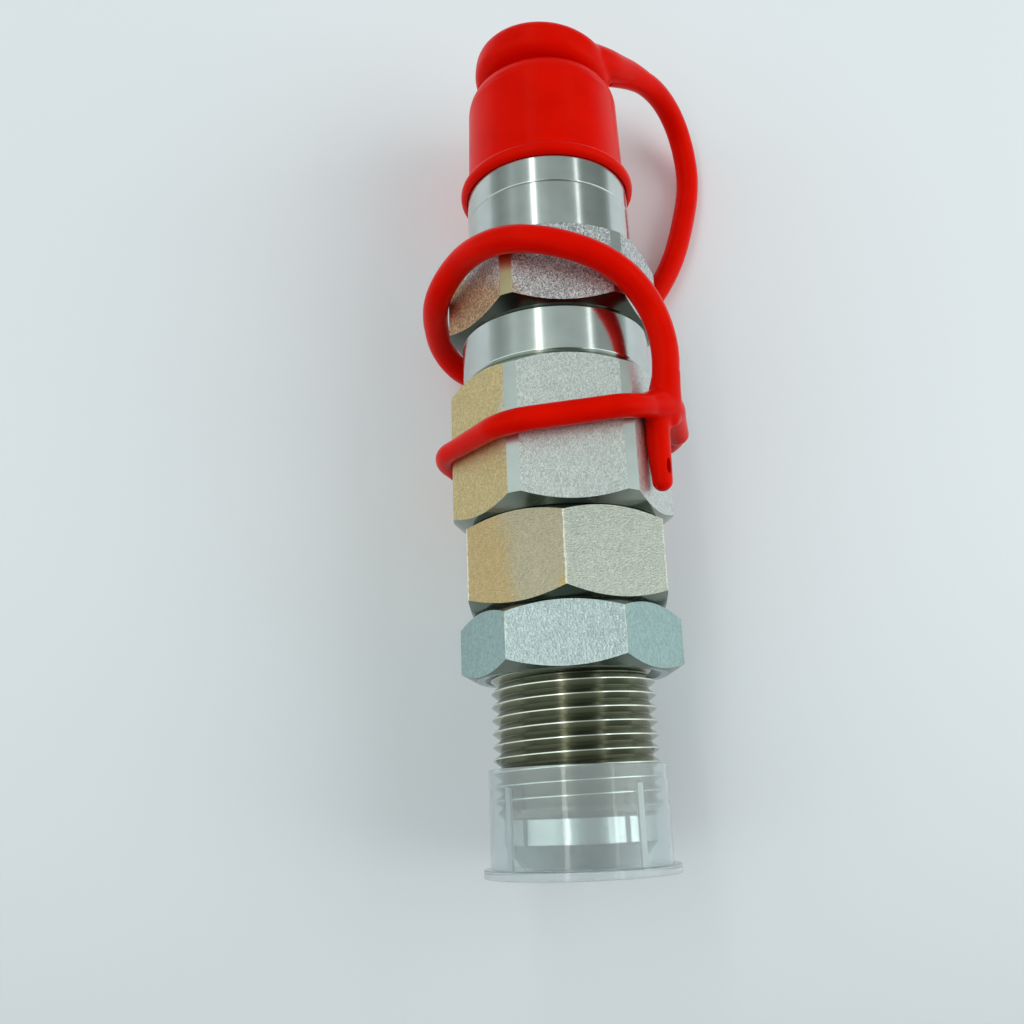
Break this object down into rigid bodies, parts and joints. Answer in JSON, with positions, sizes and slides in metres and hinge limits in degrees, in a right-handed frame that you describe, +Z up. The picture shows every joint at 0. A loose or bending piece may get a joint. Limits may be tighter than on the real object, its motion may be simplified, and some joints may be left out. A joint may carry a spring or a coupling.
{
  "type": "hydraulic quick coupler",
  "caption": "Flat face hydraulic quick coupler, nipple half with a bulkhead flare stem, red vinyl dust cap on a moulded tether and a clear thread protector",
  "frame": {"origin": "Centre of the stem's flare end face, on the coupler's axis", "axes": "+Y along the axis from the flare end to the nose and its cap, +Z up as the coupler lies on a surface, +X to the right seen from above with the nose ahead; the flats of the two large hexagons are level"},
  "size_m": [0.059, 0.1548, 0.0454],
  "materials": {
    "zinc_steel": "zinc plated, turned bands bright, hexagon flats finely blasted",
    "turned_brass": "as turned",
    "spring_steel": "drawn wire",
    "nitrile_rubber": "moulded, matt",
    "white_backup": "matt",
    "red_vinyl": "soft glossy vinyl",
    "milky_clear": "milky translucent plastic, thin wall"
  },
  "bodies": {
    "body": {"bulkhead_adapter": "zinc_steel", "valve_body": "zinc_steel", "spacer_collar": "zinc_steel", "front_body": "zinc_steel", "nose": "zinc_steel", "front_spring": "spring_steel", "front_guide": "turned_brass", "rear_spring": "spring_steel", "rear_guide": "turned_brass", "guide_clip": "spring_steel", "nose_o_ring": "nitrile_rubber", "front_o_ring": "nitrile_rubber", "front_backup_ring": "white_backup", "rear_o_ring": "nitrile_rubber", "rear_backup_ring": "white_backup", "tether_ring": "red_vinyl"},
    "nut": {"lock_nut": "zinc_steel"},
    "front_valve": {"face_poppet": "zinc_steel", "face_seal": "nitrile_rubber"},
    "second_valve": {"rear_valve": "zinc_steel", "rear_valve_seal": "nitrile_rubber", "pilot_plug": "zinc_steel", "pilot_spring": "spring_steel"},
    "relief_pin": {"pilot_pin": "zinc_steel"},
    "cap": {"dust_cap": "red_vinyl", "cap_tether": "red_vinyl"},
    "protector": {"thread_protector": "milky_clear"}
  },
  "joints": [
    {"name": "nut_turn", "type": "hinge", "parent": "body", "child": "nut", "pos_m": [0, 0.0343, 0], "axis": [0, 1, 0], "continuous": true},
    {"name": "front_valve_push", "type": "slide", "parent": "body", "child": "front_valve", "axis": [0, -1, 0], "range_m": [0, 0.0075], "stiffness_N_per_m": 4000, "springref_m": -0.012, "deforming": ["front_spring"]},
    {"name": "second_valve_push", "type": "slide", "parent": "body", "child": "second_valve", "axis": [0, -1, 0], "range_m": [0, 0.005], "stiffness_N_per_m": 3000, "springref_m": -0.006, "deforming": ["rear_spring"]},
    {"name": "relief_pin_push", "type": "slide", "parent": "second_valve", "child": "relief_pin", "axis": [0, -1, 0], "range_m": [0, 0.0015], "stiffness_N_per_m": 600, "springref_m": -0.002, "deforming": ["pilot_spring"]},
    {"name": "cap_off", "type": "slide", "parent": "body", "child": "cap", "axis": [0, 1, 0], "range_m": [0, 0.03]},
    {"name": "protector_off", "type": "slide", "parent": "body", "child": "protector", "axis": [0, -1, 0], "range_m": [0, 0.022]}
  ]
}
